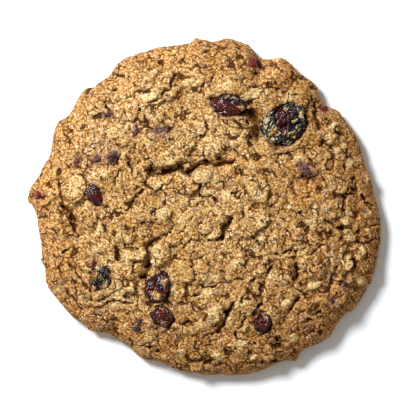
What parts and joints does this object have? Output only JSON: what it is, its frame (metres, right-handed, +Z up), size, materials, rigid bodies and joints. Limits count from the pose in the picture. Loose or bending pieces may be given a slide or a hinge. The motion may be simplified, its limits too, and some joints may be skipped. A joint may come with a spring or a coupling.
{
  "type": "oatmeal cookie",
  "caption": "Round thick oatmeal cookie with a craggy, cracked top of oat flakes, an uneven rim, a flat baked underside, and raisins and dried cranberries set in the dough.",
  "frame": {"origin": "middle of the cookie's length and width, on the plane of its flat underside", "axes": "+Z up through the cookie's thickness, +X along its longest width (to the right in the picture), +Y towards the top edge of the picture"},
  "size_m": [0.0942, 0.09, 0.0155],
  "materials": {
    "baked_dough": "dry, matt, crumbly baked dough",
    "raisin_skin": "dark wrinkled skin with a soft gloss",
    "cranberry_skin": "dark red sticky skin with a gloss"
  },
  "bodies": {
    "root": {"cookie": "baked_dough", "raisin_large": "raisin_skin", "raisin_lower_left": "raisin_skin", "cranberry_top": "cranberry_skin", "cranberry_left": "cranberry_skin", "cranberry_middle_upper": "cranberry_skin", "cranberry_middle_lower": "cranberry_skin", "cranberry_low_right": "cranberry_skin"}
  },
  "joints": []
}
